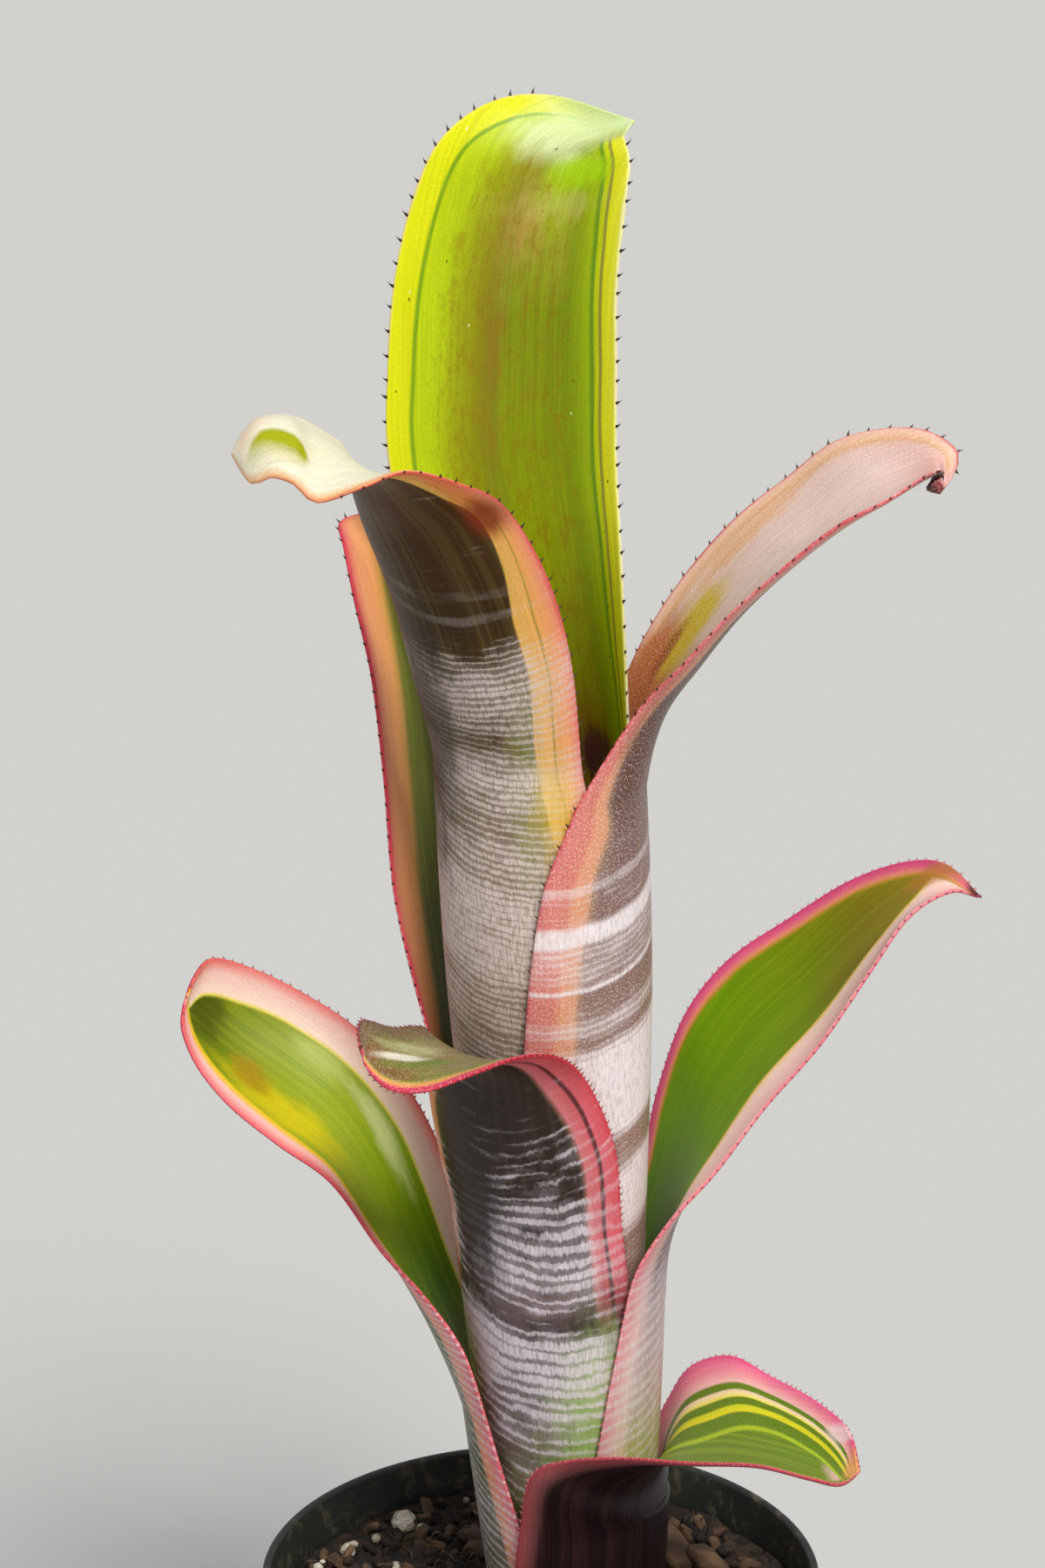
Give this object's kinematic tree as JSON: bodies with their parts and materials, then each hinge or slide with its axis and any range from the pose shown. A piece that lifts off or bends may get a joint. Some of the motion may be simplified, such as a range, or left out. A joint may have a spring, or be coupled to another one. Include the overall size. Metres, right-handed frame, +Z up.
{
  "type": "potted billbergia vittata albo",
  "caption": "Tube-shaped bromeliad with arching spine-edged variegated leaves, growing in bark potting mix in a round tapered plastic nursery pot.",
  "frame": {"origin": "centre of the pot's flat underside", "axes": "+Z up along the pot's axis and the leaf tube; -Y is the side of the leaf that arches to the front left, +X is the side of the two leaves that arch to the right"},
  "size_m": [0.1464, 0.1057, 0.3617],
  "materials": {
    "pot_plastic": "satin moulded plastic",
    "potting_mix": "rough bark, perlite and fibre",
    "stem_wood": "dry, rough",
    "leaf_green": "satin, with pink and cream margins",
    "leaf_banded": "satin, purple brown with silvery cross bands and pink margins",
    "leaf_lemon": "satin, lemon green with yellow margins"
  },
  "bodies": {
    "root": {"pot": "pot_plastic", "soil": "potting_mix", "stem": "stem_wood", "leaf_1_lowest_right": "leaf_green", "leaf_2_lower_left": "leaf_green", "leaf_3_lower_right": "leaf_green", "leaf_4_lower_front": "leaf_banded", "leaf_5_back_left": "leaf_green", "leaf_6_upper_right": "leaf_banded", "leaf_7_upper_left": "leaf_banded", "leaf_8_centre": "leaf_lemon"}
  },
  "joints": []
}
